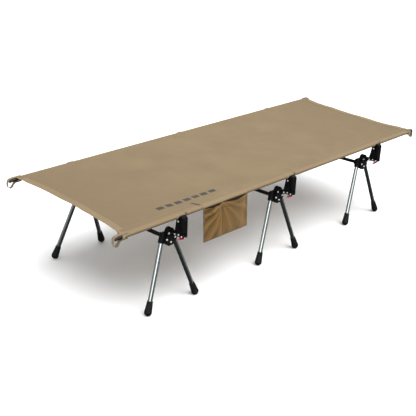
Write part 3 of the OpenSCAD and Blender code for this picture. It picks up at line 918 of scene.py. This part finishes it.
def settle_pouch(left, right, lean, fold_height):
    """One pouch, let fall from the space it is sewn to until it hangs in folds. A lean over 1 moves
    its bulge to the right."""
    columns, rows = 34, 32
    us, vs = np.linspace(0, 1, columns), np.linspace(0, 1, rows)
    rest = []
    for v in vs:
        for u in us:
            bulge = 12.5 * MM * math.sin(math.pi * u ** lean) * (0.25 + 0.75 * v ** 0.6) * min(1, v * 7)
            crease = 1.2 * MM * math.sin(11 * u + 4 * v) * math.sin(math.pi * u) * min(1, v * 4)
            rest.append((left + u * (right - left), PANEL_Y - 1.2 * MM - max(0, bulge + crease),
                         POCKET_FLOOR + v * (MOUTH_Z - POCKET_FLOOR)))
    pinned = [r * columns + c for r in range(rows) for c in range(columns)
              if r == 0 or c in (0, columns - 1)]
    faces = grid_faces(rows, columns)
    settled = simulate(rest, faces, pinned, frames=26, stiffness=15.0, bending=0.4)
    settled = np.array(settled).reshape(rows, columns, 3)
    start = np.array(rest).reshape(rows, columns, 3)
    seam_at_right = right == POCKET_SPLIT
    # The folds fan out from the upper corner at the centre seam, and the mouth droops.
    for r, v in enumerate(vs):
        for c, u in enumerate(us):
            edge = math.sin(math.pi * u) ** 0.5
            inner_u, inner_v = (1 - u) if seam_at_right else u, 1 + FOLD_RISE - v
            angle = math.atan2(inner_v, inner_u * (right - left) / POUCH_RISE + FOLD_BLUNT)
            reach = float(smoothstep(math.hypot(inner_u, inner_v), 0.1, 0.5))
            fold = math.sin(angle * FOLDS + FOLD_START) * reach * min(1, v * 3.5)
            settled[r, c, 1] -= fold_height * fold * edge
            dip = math.sin(math.pi * u ** (math.log(0.5) / math.log(MOUTH_LOWEST))) ** 2
            droop = MM * (0.4 + 3.8 * dip) * float(smoothstep(v, 0.55, 1.0))
            if v > 0.5:
                lowered = max(start[r, c, 2] - droop, POCKET_FLOOR)
                settled[r, c, 2] = min(settled[r, c, 2], lowered)
    settled[..., 1] = np.minimum(settled[..., 1], PANEL_Y - 1.1 * MM)
    settled[..., 1] = np.maximum(settled[..., 1], PANEL_Y - 17 * MM)
    return settled


def outward(grid):
    """Normals of a grid of points, facing out of the pocket's front."""
    across, up = np.gradient(grid, axis=1), np.gradient(grid, axis=0)
    normal = np.cross(across, up)
    normal /= np.maximum(np.linalg.norm(normal, axis=2, keepdims=True), 1e-12)
    return np.where(normal[..., 1:2] > 0, -normal, normal)


def build_pouch(name, left, right, lean, fold_height):
    """One pouch with its turned lip and the lip's stitching."""
    grid = settle_pouch(left, right, lean, fold_height)
    rows, columns = grid.shape[:2]
    o = add_mesh(name, grid.reshape(-1, 3), grid_faces(rows, columns), POUCH)
    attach(thicken(o, 0.8 * MM), "frame")
    normal = outward(grid)
    lip_rows = 5
    shell = grid[-lip_rows:] + normal[-lip_rows:] * 0.85 * MM
    over = grid[-1:] + np.array((0, 0, 0.8 * MM))
    back = grid[-lip_rows:][::-1] - normal[-lip_rows:][::-1] * 0.75 * MM
    lip_grid = np.concatenate([shell, over, back[:-1]])
    lip = add_mesh(name + "_lip", lip_grid.reshape(-1, 3), grid_faces(len(lip_grid), columns), POUCH)
    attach(thicken(lip, 0.5 * MM), "frame")
    seam = grid[-lip_rows] + normal[-lip_rows] * 1.25 * MM
    stitching = stitches(name + "_stitching", [(seam[1:-1], FORWARD)], DARK_THREAD, **FINE_STITCH)
    return o, [lip, stitching]


def pocket_binding():
    """The tape round the pocket's sides and foot, folded over its edges."""
    y = PANEL_Y - 0.2 * MM
    low, high = POCKET_FLOOR + 2.5 * MM, MOUTH_Z + 3 * MM
    parts = []
    for x in (POCKET_LEFT + 2.5 * MM, POCKET_RIGHT - 2.5 * MM):
        path = [(x, y + 0.4 * MM * math.sin(z * 120), z) for z in np.linspace(low - 2 * MM, high, 40)]
        parts.append(ribbon(path, FORWARD, BINDING_WIDTH, 3.4 * MM))
    foot = [(x, y, low) for x in np.linspace(POCKET_LEFT, POCKET_RIGHT, 70)]
    parts.append(ribbon(foot, FORWARD, BINDING_WIDTH, 3.5 * MM))
    return piece("pocket_binding", parts, BINDING)


def pocket_stitching():
    """Stitches down both sides, down both sides of the centre seam and along the foot."""
    y = PANEL_Y - 2.1 * MM
    lines = []
    for x in (POCKET_LEFT + 4.2 * MM, POCKET_RIGHT - 4.2 * MM):
        lines.append(([(x, y, POCKET_FLOOR + 3 * MM), (x, y, MOUTH_Z)], FORWARD))
    for x in (POCKET_SPLIT - 1.5 * MM, POCKET_SPLIT + 1.5 * MM):
        near = y + 0.2 * MM
        lines.append(([(x, near, POCKET_FLOOR + 4 * MM), (x, near, MOUTH_Z)], FORWARD))
    z = POCKET_FLOOR + 4.2 * MM
    lines.append(([(POCKET_LEFT + 3 * MM, y, z), (POCKET_RIGHT - 3 * MM, y, z)], FORWARD))
    return stitches("pocket_stitching", lines, DARK_THREAD, **FINE_STITCH)


def hang_askew(objects):
    """The pocket hangs a little towards the foot end."""
    for o in objects:
        for v in o.data.vertices:
            v.co.x += SKEW * max(0.0, (RAIL_Z - v.co.z) / (RAIL_Z - POCKET_FLOOR))
        o.data.update()


panel = build_panel()
pouch_a, pouch_a_trim = build_pouch("pouch_small", POCKET_LEFT + 2 * MM, POCKET_SPLIT, 1.35, 6.0 * MM)
pouch_b, pouch_b_trim = build_pouch("pouch_large", POCKET_SPLIT, POCKET_RIGHT - 2 * MM, 0.8, 2.0 * MM)
pocket_trim = [pocket_binding(), pocket_stitching()]
hang_askew([panel, pouch_a, pouch_b] + pouch_a_trim + pouch_b_trim + pocket_trim)


# ---- the corner loops ----

LOOP_WIDTH = 15 * MM
LOOP_T = 1.3 * MM
LOOP_LEAN = 1.5 * MM
# At the foot end the part of a loop beyond the cloth is cut down to this share.
FOOT_LOOP_SHARE = 0.6
# The loop from the side, in mm outward from the cloth's end and up from the rail's middle.
LOOP_SHAPE = ((-26, 10.9), (-14, 10.9), (-4, 10.9), (6, 10.8), (16, 10.6), (24, 10.2), (31, 8.0),
              (36, 2.0), (38.5, -8.0), (38, -19), (34, -28), (27, -32), (20, -29.5), (14.5, -22.5),
              (10, -15.5), (4, -11.8), (-4, -10.9), (-14, -10.9), (-26, -10.9))


def build_loop(end, side):
    """A webbing loop sewn to the top of a sleeve's end. It hangs off the rail's tip and returns below."""
    name = f"loop_{'foot' if end > 0 else 'head'}_{'rear' if side > 0 else 'front'}"
    flat = rounded([(x * MM, 0, z * MM) for x, z in LOOP_SHAPE], 2)
    flat = resampled(flat, 1.6 * MM)
    ahead = directions(flat)
    up = np.cross(ahead, (0, 1, 0))
    lean = np.clip(flat[:, 2:3] / (-30 * MM), 0, 1)
    place = flat + lean * np.array((0, side * LOOP_LEAN, 0))
    if end > 0:
        place[:, 0] = FOOT_REACH + place[:, 0] * np.where(place[:, 0] > 0, FOOT_LOOP_SHARE, 1.0)
    place[:, 0] = end * (CLOTH_END + place[:, 0])
    place += np.array((0, side * RAIL_O, RAIL_Z))
    up = up * np.array((end, 1, 1))
    o = piece(name, [ribbon(place, up, LOOP_WIDTH, LOOP_T)], STRAP)
    tack_z = TOP_Z + 2.0 * MM
    start = CLOTH_END + (FOOT_REACH if end > 0 else 0)
    lines = []
    for inset in (-6 * MM, 6 * MM):
        y = side * RAIL_O + inset
        lines.append(([(end * (start - 24 * MM), y, tack_z), (end * (start - 4 * MM), y, tack_z)], UP))
    tack = stitches(name + "_stitching", lines, THREAD, spacing=3.4 * MM, length=2.3 * MM)
    return o


loops = [build_loop(end, side) for end in (-1, 1) for side in (-1, 1)]
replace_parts(loops[0], "corner_loops")


# ---- the release tabs ----

# The lever's pin, and the tab's strips from the side in mm outward and up from that pin.
LEVER_O = -middle("head_front_release_tab").y + 6.5 * MM
ARM_Z = RAIL_Z - 78 * MM
EYE_R = 4.1
TAB_EYE = [(EYE_R * math.cos(t), EYE_R * math.sin(t)) for t in np.linspace(-2.3, 3.95, 30)]
TAB_ARM = ((-2.9, -3.5), (-7.0, -9.4), (-12.5, -15.5))
TAB_GRIP = ((-7.5, -13.4), (-13.0, -17.2), (-19.0, -20.0))


def build_tab(set_name, side_name, place):
    """A black eye and arm on the lever's pin, with the red grip that shows below the clamp."""
    side = SIGN[side_name]
    name = f"{set_name}_{side_name}"
    body = name + "_tab"

    def strip(outline, width, thickness):
        flat = resampled(rounded([(0, o * MM, z * MM) for o, z in outline], 2), 0.8 * MM)
        ahead = directions(flat)
        up = np.cross(ahead, (1, 0, 0)) * np.array((1, side, 1))
        flat = flat * np.array((1, side, 1)) + np.array((place, side * LEVER_O, ARM_Z))
        return ribbon(flat, up, width * MM, thickness * MM)

    arm = piece(body + "_arm", [strip(TAB_EYE, 12, 2.4), strip(TAB_ARM, 11.4, 3.0)], CLAMP, body)
    grip = piece(body + "_grip", [strip(TAB_GRIP, 17, 8.6)], TAB, body)
    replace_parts(arm, name + "_release_tab")


for s, x in zip(SETS, SET_X):
    for side_name in SIDES:
        build_tab(s, side_name, x)


# ---- hard parts get rounded edges ----

for node_name in NODES:
    if node_name.endswith(("_rail_hook", "_tension_lever", "_hub")):
        soften_edges(node_name, 0.7 * MM)
soften_edges("clamp_brackets", 0.35 * MM)


# ---- studio ----

FLOOR_HALF = 300.0
SKY = (0.46, 0.67)
PANEL_TOWARDS, PANEL_STRENGTH = (-0.755, -0.603, 0.255), 2.6
SIDE_TOWARDS, SIDE_STRENGTH = (0.75, -0.55, -0.35), 0.5
BELOW_STRENGTH = 0.03


def floor_material():
    s = Shade("studio_floor")
    speck = s.noise(3.0, 3.0)
    colour = s.mix(s.ramp(speck, 0.3, 0.7), (0.915, 0.925, 0.94), (0.93, 0.94, 0.955))
    return s.finish(Base_Color=colour, Roughness=0.9, Specular_IOR_Level=0.1)


def make_floor():
    h = FLOOR_HALF
    points = [(-h, -h, 0), (h, -h, 0), (h, h, 0), (-h, h, 0)]
    floor = add_mesh("floor", points, [(0, 1, 2, 3)], floor_material(), smooth=False)
    floor.visible_glossy = False


def make_world():
    """Even light from above, a little stronger overhead, with one bright panel low on the front left. Below
    the horizon, which only polished parts see, it is dark with a weak panel on the right."""
    world = bpy.data.worlds.new("studio")
    world.use_nodes = True
    n = Nodes(world.node_tree, "Generated")
    height = n.axes()[2]

    def panel(direction, near, full, strength):
        return n.ramp(n.dot(n.place, Vector(direction).normalized()), near, full, 0.0, strength)

    sky = n.ramp(height, 0.0, 0.35, *SKY)
    up = n.math("GREATER_THAN", height, 0.0)
    above = n.math("ADD", sky, panel(PANEL_TOWARDS, 0.955, 0.982, PANEL_STRENGTH))
    below = n.math("ADD", panel(SIDE_TOWARDS, 0.95, 0.99, SIDE_STRENGTH), BELOW_STRENGTH)
    lit = n.math("MULTIPLY", above, up)
    dim = n.math("MULTIPLY", below, n.math("SUBTRACT", 1.0, up))
    background = n.node("Background")
    n.put(background.inputs["Color"], (1.0, 1.0, 1.0, 1.0))
    n.put(background.inputs["Strength"], n.math("ADD", lit, dim))
    n.put(n.node("OutputWorld").inputs[0], background.outputs[0])
    bpy.context.scene.world = world


def add_sun(name, direction, strength, angle):
    light = bpy.data.lights.new(name, "SUN")
    light.energy, light.angle = strength, math.radians(angle)
    o = bpy.data.objects.new(name, light)
    o.rotation_euler = Vector(direction).to_track_quat("-Z", "Y").to_euler()
    bpy.context.scene.collection.objects.link(o)


make_floor()
make_world()
add_sun("key", (-0.04, 0.34, -1.0), 4.4, 64)

view = bpy.context.scene.view_settings
view.view_transform = "Standard"
view.look = "None"
view.exposure, view.gamma = 0.0, 1.0
